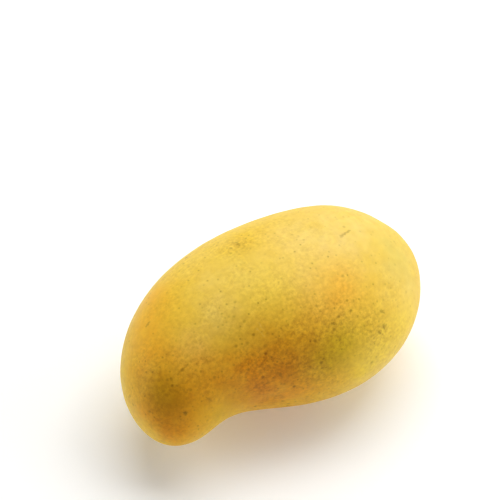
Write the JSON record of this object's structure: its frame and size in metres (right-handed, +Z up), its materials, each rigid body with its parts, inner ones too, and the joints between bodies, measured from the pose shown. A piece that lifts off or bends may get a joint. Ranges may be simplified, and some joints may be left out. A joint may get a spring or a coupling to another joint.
{
  "type": "mango",
  "caption": "Ripe yellow kidney-shaped mango lying on one cheek, with its dried stem stub in the stem basin.",
  "frame": {"origin": "on the surface the fruit rests on, under the middle of its box", "axes": "+X towards the stem end, +Y towards the arched back, +Z up through the two cheeks"},
  "size_m": [0.1188, 0.0712, 0.0617],
  "materials": {
    "mango_skin": "satin waxy fruit skin, yellow with orange and faint green drifts and fine brown dots",
    "dried_stem": "dry, rough and dark brown, like bark"
  },
  "bodies": {
    "root": {"mango_fruit": "mango_skin", "stem_stub": "dried_stem"}
  },
  "joints": []
}
